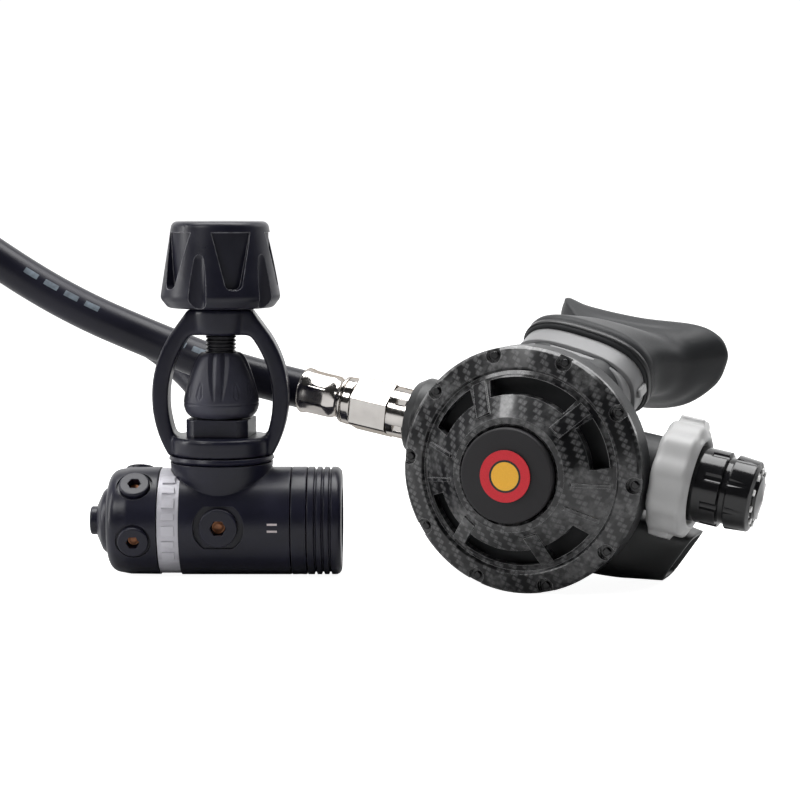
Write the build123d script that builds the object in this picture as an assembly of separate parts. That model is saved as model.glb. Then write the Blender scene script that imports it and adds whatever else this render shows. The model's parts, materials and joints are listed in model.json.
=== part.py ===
"""Scuba regulator set: yoke first stage, low-pressure hose and demand second stage (mm, +Z up).

The set rests on a table.  While it is being built, X = 0, Y = 0 is the axis of the yoke, the
first stage's barrel lies along X, and Z = 0 is the table.  Every node is moved by SET_ORIGIN
when it is written, so that the origin is under the middle of the set.
"""
import os
from math import cos, radians, sin, tan

from build123d import *

# ---------------------------------------------------------------- driving dimensions, first stage
SET_ORIGIN = (67.7, -2.5, 0.0)   # middle of the set in the building frame, on the table
BARREL_R = 18.5                  # body and cap radius
BODY_LEFT = -13.4                # left shoulder of the body, where the trim band starts
BODY_RIGHT = 24.0                # right end of the body
BAND_LEFT = -20.6                # left edge of the trim band
TURRET_LEFT = -38.3
TURRET_RIGHT = -20.9
NECK_R = 11.0                    # neck that the turret turns on
LP_X = -28.6                     # plane of the turret's four low-pressure ports
LP_ANGLES = (-15, 50, 115)       # plugged ports, degrees from the front horizontal, upwards
HOSE_PORT_ANGLE = 180            # the port that feeds the hose points straight back
CAP_RIGHT = 41.2
YOKE_BOTTOM = 41.4
YOKE_BASE_TOP = 48.0
WINDOW_TOP = 82.4
YOKE_TOP = 91.3
YOKE_DEPTH = 12.0
SCREW_R = 5.2
SCREW_PITCH = 1.25
KNOB_BOTTOM = 91.7
KNOB_TOP = 120.8
KNOB_RIBS = 5                    # V pockets, with as many U flutes between them

# ---------------------------------------------------------------- driving dimensions, second stage
COVER_R = 40.5
COVER_YAW = 21.5                 # the cover faces left of the front by this many degrees
COVER_ROLL = 10.5                # its right side is this much lower
COVER_X = 100.0
COVER_Y = -36.5
VALVE_UP = 5.5                   # valve barrel above the cover's centre
VALVE_BACK = 22.0                # valve barrel behind the cover's rim plane
VALVE_R = 9.0
EXHAUST_DOWN = 20.5              # exhaust port below the cover's centre
NOTCHES = 10                     # notches in the cover's rim
WINDOWS = ((90, 29), (31, 16), (149, 16), (-42, 14), (-138, 14), (-90, 27))   # middle, half width
BRIDGES = (54, 126, -60, -120, 4, -18, 176, -162)   # raised strips on the cover's cone, degrees
PURGE_R = 15.5

# ---------------------------------------------------------------- hose
HOSE_D = 13.5
FERRULE_END = -88.0              # hose end on the second stage's valve axis
GAP = 0.3                        # clearance between faces that must not touch


def direction(yaw, roll):
    """Unit vectors (right, up, front) of the second stage's cover."""
    a, b = radians(yaw), radians(roll)
    front = Vector(-sin(a), -cos(a), 0)
    right = Vector(cos(a) * cos(b), -sin(a) * cos(b), -sin(b))
    return right, front.cross(right), front


RIGHT, UP, FRONT = direction(COVER_YAW, COVER_ROLL)
COVER_CENTRE = Vector(COVER_X, COVER_Y, COVER_R)
VALVE_CENTRE = COVER_CENTRE + UP * VALVE_UP - FRONT * VALVE_BACK

BARREL = Plane(origin=(0, 0, BARREL_R), x_dir=(0, -1, 0), z_dir=(1, 0, 0))
STAGE2 = Plane(origin=COVER_CENTRE, x_dir=RIGHT, z_dir=FRONT)
VALVE = Plane(origin=VALVE_CENTRE, x_dir=UP, z_dir=RIGHT)

# Control points of the hose, from the second stage's ferrule to the turret's fitting.
HOSE_START = VALVE_CENTRE + RIGHT * FERRULE_END
HOSE_POINTS = [
    HOSE_START,
    HOSE_START - RIGHT * 26,
    (-22, 33, 76),
    (-59, 36, 91.5),
    (-96, 39, 115.5),
    (-134, 49, 141),
    (-170, 77, 158),
    (-190, 124, 158),
    (-184, 173, 141),
    (-155, 208, 118),
    (-117, 227, 98.5),
    (-78, 231, 77.5),
    (-44, 223, 61),
    (-20, 202, 39),
    (-10, 172, 17.3),
    (-13, 139, 5.7),
    (-23, 107, 8.6),
    (LP_X, 80, BARREL_R),
    (LP_X, 51, BARREL_R),
]

nodes = {}


# ---------------------------------------------------------------- helpers
def lathe(plane, points, rounds=None):
    """Solid of revolution about a plane's normal from (radius, height) points.

    rounds maps a point's place in the list to the radius that rounds it.
    """
    face = make_face(Polyline(*[(r, h) for r, h in points], close=True))
    for index, radius in (rounds or {}).items():
        r, h = points[index]
        corner = face.vertices().sort_by_distance((r, h, 0))[0]
        face = fillet(corner, radius)
    solid = Rot(90, 0, 0) * revolve(face, Axis.Y)
    return plane.location * solid


def rod(plane, radius, low, high):
    """Cylinder about a plane's normal from height low to height high."""
    body = Pos(0, 0, (low + high) / 2) * Cylinder(radius, high - low)
    return plane.location * body


def tube(plane, outer, inner, low, high):
    return rod(plane, outer, low, high) - rod(plane, inner, low - 1, high + 1)


def block(plane, centre, size, turn=0.0):
    """Box placed in a plane's own coordinates, turned about the plane's normal."""
    return plane.location * (Rot(0, 0, turn) * Pos(*centre) * Box(*size))


def hexagon(plane, across_flats, low, high, turn=0.0, corner=None):
    """Hexagonal bar, its corners turned down to the radius corner."""
    outline = RegularPolygon(radius=across_flats / 2, side_count=6, major_radius=False)
    bar = Pos(0, 0, low) * Rot(0, 0, turn) * extrude(outline, high - low)
    bar = plane.location * bar
    if corner:
        bar = bar & rod(plane, corner, low - 1, high + 1)
    return bar


def polar(plane, radius, angle, height=0.0):
    """Plane parallel to another, with its origin at a polar position in it."""
    spot = (radius * cos(radians(angle)), radius * sin(radians(angle)), height)
    return Plane(origin=plane.from_local_coords(Vector(*spot)), x_dir=plane.x_dir, z_dir=plane.z_dir)


def port(x, angle, radius):
    """Plane on the barrel's side at an angle from the front horizontal, facing outwards."""
    out = Vector(0, -cos(radians(angle)), sin(radians(angle)))
    return Plane(origin=Vector(x, 0, BARREL_R) + out * radius, x_dir=(1, 0, 0), z_dir=out)


def spring(plane, radius, wire, low, high, turns):
    """Helical compression spring."""
    pitch = (high - low - wire) / turns
    path = Helix(pitch=pitch, height=pitch * turns, radius=radius)
    start = path @ 0
    section = Plane(origin=start, z_dir=path % 0) * Circle(wire / 2)
    coil = sweep(section, path=path, is_frenet=True)
    return plane.location * (Pos(0, 0, low + wire / 2) * coil)


def plug(plane, head_r, head_h, thread_r, depth, socket):
    """Threaded port plug with a hexagon socket; height 0 is under its head."""
    body = lathe(
        plane,
        [(0, -depth), (thread_r, -depth), (thread_r, 0), (head_r, 0), (head_r, head_h), (0, head_h)],
        {4: 0.6},
    )
    return body - hexagon(plane, socket, -depth * 0.55, head_h + 1)


def keep(name, *solids):
    """Store a node: one solid, or several separate ones."""
    parts = [solid for group in solids for solid in group.solids()]
    nodes[name] = parts


# ---------------------------------------------------------------- first stage
def inlet_boss(clearance=0.0):
    """Bowl that rises out of the barrel and carries the yoke."""
    bowl = [(0, 20), (11.5, 20), (14.6, 27.5), (17.0, 34.5), (17.6, 39.0), (0, 39.0)]
    grown = [(r + (clearance if r else 0), h) for r, h in bowl]
    return lathe(Plane.XY, grown, {2: 12, 3: 12})


def main_body():
    """Barrel with the neck on its left, the valve chamber inside and the inlet boss on top."""
    body = lathe(
        BARREL,
        [
            (0, -38.2),
            (NECK_R, -38.2),
            (NECK_R, BAND_LEFT),
            (16.4, BAND_LEFT),
            (16.4, BODY_LEFT),
            (BARREL_R, BODY_LEFT),
            (BARREL_R, BODY_RIGHT),
            (0, BODY_RIGHT),
        ],
        {6: 0.4},
    )
    body += inlet_boss()
    body -= rod(BARREL, 14.6, 14.0, BODY_RIGHT + 1)
    body -= rod(BARREL, 5.4, -11.0, 14.5)
    body -= rod(BARREL, 2.5, -27.0, -10.5)
    body -= rod(BARREL, 7.0, -40.0, -26.5)
    body -= rod(Plane.XY, 9.0, 31.0, 40.0)
    body -= rod(Plane.XY, 3.0, BARREL_R, 31.5)
    for angle in (0, 180):
        seat = port(0, angle, BARREL_R - 2.2)
        flat_sided = rod(seat, 8.6, 0, 6) & block(seat, (0, 0, 3), (20, 14.2, 8))
        body -= flat_sided
        body -= rod(seat, 5.5, -8.0, 0.5)
        body -= rod(seat, 2.0, -12.0, -7.5)
    keep("first_stage_body", body)


def band():
    """Silver ring between the turret and the body, with a row of raised plain bars."""
    ring = tube(BARREL, BARREL_R - 0.5, 16.4, BAND_LEFT, BODY_LEFT)
    for step in range(-3, 4):
        length = 3.4 if step % 2 else 2.2
        spot = port((BAND_LEFT + BODY_LEFT) / 2, 12 + 15 * step, BARREL_R - 0.9)
        ring += block(spot, (0, 0, 0.4), (4.2, length, 1.0))
    ring -= inlet_boss(clearance=0.1)
    keep("trim_band", ring)


def body_cap():
    """Diaphragm clamp, ribbed environmental cap and the parts inside them."""
    clamp = lathe(
        BARREL,
        [(14.4, 15.4), (14.4, 24.3), (BARREL_R, 24.3), (BARREL_R, 29.4), (12.4, 29.4), (12.4, 15.4)],
        {3: 0.5},
    )
    for angle in (-80, 100):
        clamp -= rod(port(26.9, angle, BARREL_R), 1.3, -3.0, 1.0)
    keep("diaphragm_clamp", clamp)

    profile = [(15.6, 29.7), (BARREL_R, 29.7)]
    for groove in (32.3, 34.8, 37.3):
        profile += [
            (BARREL_R, groove - 0.55),
            (BARREL_R - 0.9, groove - 0.2),
            (BARREL_R - 0.9, groove + 0.2),
            (BARREL_R, groove + 0.55),
        ]
    profile += [(BARREL_R, CAP_RIGHT), (11.0, CAP_RIGHT), (11.0, 39.4), (15.6, 39.4)]
    corner = len(profile) - 4
    keep("environmental_cap", lathe(BARREL, profile, {corner: 2.2}))

    seal = lathe(
        BARREL,
        [(0, 37.2), (5.5, 37.2), (9.0, 38.2), (15.3, 38.2), (15.3, 39.2), (9.0, 39.2), (5.5, 38.2), (0, 38.2)],
    )
    keep("environmental_seal", seal)

    diaphragm = lathe(
        BARREL,
        [(0, 14.05), (14.3, 14.05), (14.3, 15.3), (9.4, 15.3), (8.6, 16.3), (0, 16.3)],
    )
    keep("main_diaphragm", diaphragm)
    keep("spring_pad", lathe(BARREL, [(0, 16.4), (7.6, 16.4), (7.6, 17.6), (3.2, 17.6), (3.2, 20.5), (0, 20.5)]))
    keep("main_spring", spring(BARREL, 5.6, 2.0, 18.0, 30.9, 4))
    adjuster = tube(BARREL, 12.3, 4.0, 31.0, 35.5) - hexagon(BARREL, 10.0, 33.0, 36.0)
    keep("spring_adjuster", adjuster)


def valve_train():
    """High-pressure valve: seat, poppet, its spring, and the pin that the diaphragm pushes."""
    keep("crown_seat", tube(BARREL, 5.3, 1.9, 3.2, 6.6))
    keep("lift_pin", rod(BARREL, 1.1, 2.9, 13.6))
    poppet = lathe(BARREL, [(0, -4.0), (2.0, -4.0), (2.0, 0.0), (4.4, 0.0), (4.4, 2.4), (2.3, 2.8), (0, 2.8)])
    keep("high_pressure_poppet", poppet)
    keep("poppet_spring", spring(BARREL, 3.4, 0.9, -10.8, -1.2, 5))


def turret():
    """Turret with four radial ports, its bolt, plugs and seals."""
    body = lathe(
        BARREL,
        [
            (NECK_R + 0.05, TURRET_RIGHT),
            (NECK_R + 0.05, TURRET_LEFT),
            (17.0, TURRET_LEFT),
            (BARREL_R - 0.2, -31.0),
            (BARREL_R - 0.1, TURRET_RIGHT),
        ],
        {2: 4.5, 3: 6.0},
    )
    body -= tube(BARREL, 13.2, NECK_R, LP_X - 2.5, LP_X + 2.5)
    for angle in (*LP_ANGLES, HOSE_PORT_ANGLE):
        seat = port(LP_X, angle, BARREL_R - 1.6)
        body -= rod(seat, 6.0, 0, 5)
        body -= rod(seat, 4.4, -5.0, 0.5)
    keep("turret", body)
    plugs = [plug(port(LP_X, a, BARREL_R - 1.6), 5.2, 1.9, 4.35, 3.4, 4.0) for a in LP_ANGLES]
    keep("low_pressure_plugs", *plugs)

    bolt = lathe(
        BARREL,
        [(0, -27.0), (6.95, -27.0), (6.95, -38.6), (11.6, -38.6), (10.4, -40.4), (6.0, -42.4), (0, -42.4)],
        {4: 3.0},
    )
    bolt -= rod(BARREL, 3.4, -44.0, -33.0)
    keep("turret_bolt", bolt)
    tip = lathe(
        BARREL,
        [(0, -34.0), (3.35, -34.0), (3.35, -42.45), (4.9, -42.45), (4.9, -45.0), (0, -45.0)],
        {4: 0.7},
    )
    tip -= hexagon(BARREL, 3.6, -46.0, -39.0)
    keep("end_port_plug", tip)
    plugs = [plug(port(0, a, BARREL_R - 2.2), 6.5, 2.3, 5.4, 5.0, 4.8) for a in (0, 180)]
    keep("high_pressure_plugs", *plugs)


def yoke():
    """Collar, yoke frame, its hollow retainer, and the inlet filter with its clip."""
    keep("yoke_collar", lathe(Plane.XY, [(9.1, 39.1), (16.9, 39.1), (18.0, 40.2), (17.6, 41.3), (9.1, 41.3)]))

    def side(way):
        lower = ThreePointArc((way * 17.6, YOKE_BOTTOM), (way * 23.2, 61.5), (way * 17.0, 82.6))
        return lower, Line((way * 17.0, 82.6), (way * 10.6, YOKE_TOP))

    right_low, right_high = side(1)
    left_low, left_high = side(-1)
    top = Line((10.6, YOKE_TOP), (-10.6, YOKE_TOP))
    bottom = Line((-17.6, YOKE_BOTTOM), (17.6, YOKE_BOTTOM))
    outline = make_face([right_low, right_high, top, left_high, left_low, bottom])

    def inner(way):
        return ThreePointArc((way * 15.4, YOKE_BASE_TOP), (way * 17.7, 61.0), (way * 10.2, WINDOW_TOP))

    window = make_face([
        inner(1),
        Line((10.2, WINDOW_TOP), (-10.2, WINDOW_TOP)),
        inner(-1),
        Line((-15.4, YOKE_BASE_TOP), (15.4, YOKE_BASE_TOP)),
    ])
    window = fillet(window.vertices(), 2.4)
    front = Plane(origin=(0, YOKE_DEPTH / 2, 0), x_dir=(1, 0, 0), z_dir=(0, -1, 0))
    frame = front.location * extrude(outline, YOKE_DEPTH)
    cut = Plane(origin=(0, 30, 0), x_dir=(1, 0, 0), z_dir=(0, -1, 0)).location * extrude(window, 60)
    frame += lathe(
        Plane.XY,
        [(0, YOKE_BOTTOM), (17.0, YOKE_BOTTOM), (17.6, YOKE_BASE_TOP), (0, YOKE_BASE_TOP)],
        {2: 1.2},
    )
    frame += lathe(
        Plane.XY,
        [(0, WINDOW_TOP), (9.4, WINDOW_TOP), (10.2, YOKE_TOP), (0, YOKE_TOP)],
        {1: 1.5},
    )
    frame -= cut
    frame -= rod(Plane.XY, SCREW_R + 0.08, WINDOW_TOP - 1, YOKE_TOP + 1)
    frame -= rod(Plane.XY, 9.1, YOKE_BOTTOM - 1, YOKE_BASE_TOP + 1)
    keep("yoke_frame", frame)

    retainer = lathe(
        Plane.XY,
        [
            (3.0, 31.2),
            (8.95, 31.2),
            (8.95, YOKE_BASE_TOP + 0.05),
            (12.9, YOKE_BASE_TOP + 0.05),
            (12.9, 54.0),
            (7.0, 54.0),
            (7.0, 55.6),
            (6.0, 55.6),
            (6.0, 44.0),
            (3.0, 42.0),
        ],
        {4: 0.4},
    )
    flats = block(Plane.XY, (0, 0, 51.05), (21.2, 21.2, 6.0), turn=-7)
    retainer = (retainer & flats.fuse(rod(Plane.XY, 10.55, 30, 57))).solids().sort_by(SortBy.VOLUME)[-1]
    keep("yoke_retainer", retainer)
    keep("inlet_filter", lathe(Plane.XY, [(0, 46.0), (5.6, 46.0), (5.6, 47.5), (2.6, 52.6), (0, 52.6)]))
    keep("filter_clip", tube(Plane.XY, 5.95, 4.7, 53.2, 54.2))


def dust_cap():
    """Egg-shaped rubber cap that the yoke screw carries and presses on the inlet."""
    cap = lathe(
        Plane.XY,
        [
            (0, 54.3),
            (9.6, 54.3),
            (12.9, 59.0),
            (12.6, 65.0),
            (8.0, 76.4),
            (0, 76.4),
        ],
        {1: 2.5, 2: 5.0, 3: 12.0},
    )
    cap -= rod(Plane.XY, 7.3, 54.0, 58.2)
    cap -= rod(Plane.XY, SCREW_R + 0.1, 67.8, 77.0)
    keep("dust_cap", cap)


def yoke_screw():
    """Clamp screw and its big moulded knob with V pockets and U flutes."""
    profile = [(0, 68.0), (4.6, 68.0)]
    ridge = 69.0
    while ridge < KNOB_BOTTOM - SCREW_PITCH:
        profile += [(SCREW_R, ridge), (SCREW_R, ridge + 0.25), (SCREW_R - 0.55, ridge + 0.75)]
        profile += [(SCREW_R - 0.55, ridge + 0.95)]
        ridge += SCREW_PITCH
    profile += [(SCREW_R, KNOB_BOTTOM), (SCREW_R, 112.0), (0, 112.0)]
    keep("yoke_screw", lathe(Plane.XY, profile))

    knob = lathe(
        Plane.XY,
        [(0, KNOB_BOTTOM), (17.8, KNOB_BOTTOM), (20.4, 95.0), (16.3, KNOB_TOP), (0, KNOB_TOP)],
        {1: 2.0, 2: 2.5, 3: 2.2},
    )
    knob -= rod(Plane.XY, SCREW_R, KNOB_BOTTOM - 1, 112.0)
    core = rod(Plane.XY, 16.4, KNOB_BOTTOM, KNOB_TOP)
    step = 360 / KNOB_RIBS
    for rib in range(KNOB_RIBS):
        angle = rib * step - 90 + 18
        pocket = Polyline((-6.6, 117.2), (-2.6, 98.2), (2.6, 98.2), (6.6, 117.2), close=True)
        wedge = make_face(pocket)
        low_corners = wedge.vertices().filter_by_position(Axis.Y, 98, 98.5)
        wedge = fillet(low_corners, 2.3)
        tilt = Plane(origin=(0, 0, 0), x_dir=(0, 1, 0), z_dir=(1, 0, 0))
        cutter = tilt.location * extrude(wedge, 30)
        cutter = Rot(0, 0, angle) * (cutter - core)
        knob -= cutter
        flute = Pos(21.0, 0, 99.0) * Cylinder(3.3, 19.0)
        flute += Pos(21.0, 0, 108.5) * Sphere(3.3)
        knob -= Rot(0, 0, angle + step / 2) * flute
    keep("yoke_knob", knob)


# ---------------------------------------------------------------- hose
def hose():
    """Hose, its crimped ferrules and the fitting screwed into the turret."""
    seat = port(LP_X, HOSE_PORT_ANGLE, BARREL_R - 1.6)
    fitting = rod(seat, 4.35, -4.6, 0.1) + rod(seat, 5.8, 0.05, 2.3)
    fitting += hexagon(seat, 14.0, 2.2, 9.0, turn=30, corner=7.7) + rod(seat, 5.6, 9.0, 12.0)
    fitting -= rod(seat, 2.2, -8.0, 13.0)
    keep("hose_fitting", fitting)
    end = (LP_X, 51, BARREL_R)
    length = 51 - (BARREL_R - 1.6) - 12.0
    back = Plane(origin=end, x_dir=(1, 0, 0), z_dir=(0, -1, 0))
    keep("first_ferrule", tube(back, 7.4, 5.0, 0, length))

    ring = lathe(VALVE, [(3.0, -68.2), (8.2, -68.2), (8.2, -72.0), (3.0, -72.0)], {1: 0.8, 2: 0.8})
    keep("hose_collar", ring)
    ferrule = lathe(
        VALVE,
        [(5.0, -72.1), (7.9, -72.1), (7.3, -75.0), (7.3, -82.0), (7.8, -87.0), (7.8, FERRULE_END), (5.0, FERRULE_END)],
    )
    keep("second_ferrule", ferrule)

    points = [Vector(*p) if isinstance(p, tuple) else p for p in HOSE_POINTS]
    radii = []
    for before, here, after in zip(points, points[1:], points[2:]):
        turn = (here - before).get_angle(after - here)
        shorter = min((here - before).length, (after - here).length)
        radii.append(0.45 * shorter / tan(radians(turn / 2)))
    path = FilletPolyline(*points, radius=radii)
    section = Plane(origin=points[0], z_dir=points[1] - points[0]) * Circle(HOSE_D / 2)
    body = sweep(section, path=path)
    expected = 3.14159 * (HOSE_D / 2) ** 2 * path.length
    print("hose radii:", [round(r) for r in radii])
    print(f"hose length {path.length:.1f} mm, volume {body.volume:.0f}, section x length {expected:.0f}")
    keep("hose", body)


# ---------------------------------------------------------------- second stage
CASE_OUTER = [
    (0, -36.0),
    (24.0, -34.5),
    (33.5, -27.0),
    (37.0, -16.0),
    (COVER_R, -11.5),
    (COVER_R, -2.7),
]
MOUTH = Plane(
    origin=STAGE2.from_local_coords(Vector(0.5, 20.5, -25.0)),
    x_dir=RIGHT,
    z_dir=RIGHT * 0.13 + UP * 0.52 - FRONT * 0.85,
)
MOUTH_LENGTH = 29.0


def oval(plane, width, height, low, high):
    """Bar of oval section along a plane's normal."""
    shape = SlotOverall(width, height)
    return plane.location * (Pos(0, 0, low) * extrude(shape, high - low))


def case_outline(clearance=0.0):
    """Outer form of the case's bowl, grown by a clearance."""
    grown = [(r + (clearance if r else 0), h - clearance) for r, h in CASE_OUTER]
    return lathe(STAGE2, [*grown, (0, CASE_OUTER[-1][1])], {1: 6, 2: 6, 3: 2, 4: 1.5})


def case():
    """Moulded case: bowl, valve bosses, mouthpiece tube and exhaust port."""
    shell = case_outline()
    shell += rod(VALVE, 12.5, -36.5, 48.0)
    shell += oval(MOUTH, 43.0, 26.5, 0, MOUTH_LENGTH)
    shell -= rod(STAGE2, 37.9, -5.4, 0)
    hollow = lathe(
        STAGE2,
        [(0, -33.4), (23.0, -32.0), (31.0, -25.6), (34.6, -15.0), (35.4, -5.3), (0, -5.3)],
        {1: 5, 2: 5},
    )
    shell -= hollow
    shell -= oval(MOUTH, 38.6, 22.1, 4.0, MOUTH_LENGTH + 1)
    shell += tube(VALVE, 12.5, VALVE_R + 0.05, -36.5, -25.0)
    shell += tube(VALVE, 12.5, VALVE_R + 0.05, 27.0, 48.0)
    shell -= rod(VALVE, VALVE_R + 0.05, -60, 70)
    shell -= rod(polar(STAGE2, EXHAUST_DOWN, -90), 7.5, -37.0, -28.0)
    shell = shell.solids().sort_by(SortBy.VOLUME)[-1]
    keep("second_stage_case", shell)


def exhaust():
    """Exhaust flap and the two-way exhaust tee behind the case."""
    outlet = polar(STAGE2, EXHAUST_DOWN, -90)
    keep("exhaust_valve", lathe(outlet, [(0, -38.0), (4.0, -37.6), (9.5, -36.9), (9.5, -36.1), (0, -36.9)]))
    outline = [
        (-43.0, -13.0),
        (-24.0, -7.0),
        (24.0, -7.0),
        (50.5, -14.0),
        (51.5, -30.2),
        (30.0, -34.0),
        (-28.0, -36.5),
        (-42.5, -33.5),
    ]
    face = fillet(make_face(Polyline(*outline, close=True)).vertices(), 2.0)
    tee = Pos(0, 0, -49.0) * extrude(face, 27.0)
    inner = [
        (-60.0, -18.4),
        (-24.0, -9.4),
        (24.0, -9.4),
        (60.0, -17.4),
        (60.0, -27.4),
        (30.0, -31.6),
        (-28.0, -34.0),
        (-60.0, -28.4),
    ]
    hollow = Pos(0, 0, -46.8) * extrude(make_face(Polyline(*inner, close=True)), 22.0)
    tee = STAGE2.location * (tee - hollow)
    tee -= case_outline(GAP)
    tee -= rod(VALVE, 12.9, -60, 70)
    tee -= rod(VALVE, 19.8, 40.5, 70)
    tee -= rod(VALVE, 14.5, -70, -36)
    tee -= oval(MOUTH, 44.0, 27.5, -2, MOUTH_LENGTH + 8)
    tee = tee.solids().sort_by(SortBy.VOLUME)[-1]
    keep("exhaust_tee", tee)


def cover():
    """Front cover with windows and rim notches, its pins, the purge button and its parts."""
    shell = lathe(
        STAGE2,
        [
            (37.6, -2.6),
            (COVER_R, -2.6),
            (COVER_R, -0.6),
            (39.6, 0.6),
            (33.6, 2.2),
            (32.8, 1.0),
            (31.6, 1.4),
            (18.6, 12.2),
            (16.6, 12.2),
            (15.8, 11.4),
            (15.8, 8.0),
            (18.0, 8.0),
            (30.6, -1.6),
            (37.6, -1.8),
        ],
        {3: 0.8, 4: 0.5},
    )
    for middle, half in WINDOWS:
        ring = tube(STAGE2, 30.8, 25.4, -8, 12)
        corners = [(0, 0)]
        for turn in (middle - half, middle, middle + half):
            corners.append((45 * cos(radians(turn)), 45 * sin(radians(turn))))
        wedge = STAGE2.location * (Pos(0, 0, -8) * extrude(make_face(Polyline(*corners, close=True)), 22))
        shell -= ring & wedge
    for angle in BRIDGES:
        width = 4.6 if abs(sin(radians(angle))) > 0.5 else 1.2
        strip = Rot(0, 0, angle) * Pos(25.6, 0, 6.4) * Rot(0, 39.7, 0) * Box(13.6, width, 1.6)
        shell += STAGE2.location * strip
    pins = []
    for notch in range(NOTCHES):
        angle = 6 + notch * 360 / NOTCHES
        spot = polar(STAGE2, 38.4, angle)
        shell -= rod(spot, 2.6, -1.2, 4)
        shell -= STAGE2.location * (Rot(0, 0, angle) * Pos(40.4, 0, 1.4) * Box(4.0, 4.4, 5.2))
        pins.append(lathe(spot, [(0, -1.2), (1.3, -1.2), (1.3, -0.1), (0, -0.1)], {2: 0.4}))
    shell = shell.solids().sort_by(SortBy.VOLUME)[-1]
    keep("front_cover", shell)
    keep("cover_pins", *pins)

    button = lathe(
        STAGE2,
        [(0, 8.8), (11.0, 8.8), (11.0, 9.6), (15.4, 9.6), (PURGE_R - 0.05, 14.6), (0, 15.2)],
        {4: 0.8},
    )
    button += rod(STAGE2, 3.0, -0.4, 9.0)
    keep("purge_button", button)
    emblem = rod(STAGE2, 8.4, 15.22, 15.6)
    keep("button_emblem", emblem)
    keep("purge_spring", spring(STAGE2, 5.0, 0.9, 2.4, 5.5, 2))
    keep("demand_diaphragm", lathe(
        STAGE2,
        [(14.3, -4.7), (31.0, -4.7), (33.0, -5.2), (37.6, -5.2), (37.6, -3.0), (35.5, -3.0), (33.0, -4.0), (14.3, -4.0)],
    ))
    keep("diaphragm_disc", lathe(STAGE2, [(0, -5.0), (14.0, -5.0), (14.0, -4.0), (8.0, -3.4), (0, -3.4)]))


def demand_valve():
    """Valve barrel across the case, with orifice, poppet, spring and lever."""
    barrel = lathe(
        VALVE,
        [
            (6.6, -47.0),
            (VALVE_R, -47.0),
            (VALVE_R, 50.0),
            (6.6, 50.0),
        ],
    )
    barrel += tube(VALVE, 7.0, 5.2, -66.0, -47.0)
    barrel -= rod(VALVE, 5.2, -60, -46)
    window = VALVE.location * (Pos(0, 9.5, 8.0) * Box(7.4, 12.0, 26.0))
    barrel -= window
    keep("valve_barrel", barrel)
    keep("orifice", lathe(VALVE, [(2.4, -43.0), (6.5, -43.0), (6.5, -34.0), (4.2, -32.0), (4.2, -24.5), (2.4, -24.5)]))
    poppet = lathe(VALVE, [(0, -24.2), (4.6, -24.2), (4.6, -21.5), (2.6, -20.0), (2.6, 13.0), (0, 13.0)])
    keep("demand_poppet", poppet)
    keep("demand_spring", spring(VALVE, 3.8, 0.8, 14.4, 25.2, 5))
    lever = Polyline((17.0, -17.2), (17.0, -14.6), (12.5, -12.2), (-1.0, -6.4), (-3.4, -6.8), (-3.4, -8.0),
                     (-1.0, -8.2), (11.0, -13.6), (14.6, -17.2), close=True)
    plane = Plane(origin=STAGE2.from_local_coords(Vector(0, VALVE_UP + 3.0, 0)), x_dir=RIGHT, z_dir=-UP)
    flipped = make_face(lever)
    bar = plane.location * extrude(flipped, 6.0)
    keep("demand_lever", bar)

    collar = lathe(
        VALVE,
        [(VALVE_R + 0.05, -36.6), (13.8, -36.6), (14.0, -43.5), (12.0, -46.6), (VALVE_R + 0.05, -46.6)],
        {2: 1.5},
    )
    collar -= case_outline(GAP)
    keep("inlet_collar", collar.solids().sort_by(SortBy.VOLUME)[-1])
    nut = tube(VALVE, 8.7, 7.05, -54.3, -47.2)
    for angle in range(0, 360, 60):
        nut -= block(polar(VALVE, 8.9, angle), (0, 0, -50.0), (2.0, 2.4, 3.4))
    keep("lock_nut", nut)
    swivel = hexagon(VALVE, 17.0, -67.8, -54.6, turn=12, corner=9.6) - rod(VALVE, 7.05, -67.0, -54.0)
    swivel -= rod(VALVE, 3.2, -70.0, -60.0)
    keep("swivel_nut", swivel)


def controls():
    """Venturi collar with its vane, and the breathing-effort knob with its screw."""
    outline = RegularPolygon(radius=18.2, side_count=10, major_radius=False)
    collar = VALVE.location * (Pos(0, 0, 41.6) * extrude(outline, 15.0))
    collar &= lathe(
        VALVE,
        [(0, 41.0), (16.8, 41.0), (18.9, 43.6), (18.9, 52.5), (16.2, 56.6), (0, 56.6)],
        {2: 1.0, 3: 2.0},
    )
    tab = VALVE.location * (Rot(0, 0, -22) * Pos(17.0, 0, 49.3) * Box(7.4, 11.0, 12.4))
    collar += tab
    collar -= rod(VALVE, 12.6, 40, 48.4)
    collar -= rod(VALVE, 13.2, 51.0, 58)
    collar -= rod(VALVE, 9.15, 47, 58)
    keep("venturi_collar", collar)
    vane = tube(VALVE, 9.85, 9.15, 18.4, 21.4)
    vane += VALVE.location * (Rot(0, 0, -30) * Pos(11.4, 0, 13.9) * Box(3.6, 1.6, 9.4))
    keep("venturi_vane", vane)

    grip = lathe(
        VALVE,
        [
            (0, 50.4),
            (6.4, 50.4),
            (6.4, 51.6),
            (12.4, 51.6),
            (12.4, 62.6),
            (10.9, 63.2),
            (10.9, 64.8),
            (12.2, 65.4),
            (11.6, 72.4),
            (9.9, 73.2),
            (0, 73.2),
        ],
        {3: 0.6, 8: 0.5},
    )
    for rib in range(8):
        spot = polar(VALVE, 13.5, rib * 45 + 22)
        grip -= rod(spot, 1.9, 57.5, 74)
    keep("adjusting_knob", grip)
    keep("adjusting_screw", rod(VALVE, 6.5, 26.0, 50.3))
    end = lathe(VALVE, [(0, 73.25), (7.6, 73.25), (6.6, 74.2), (0, 75.2)])
    keep("knob_end_cap", end)
    dots = [rod(polar(VALVE, 8.75, k * 36), 1.0, 73.25, 73.8) for k in range(10)]
    keep("knob_dots", *dots)


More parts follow.
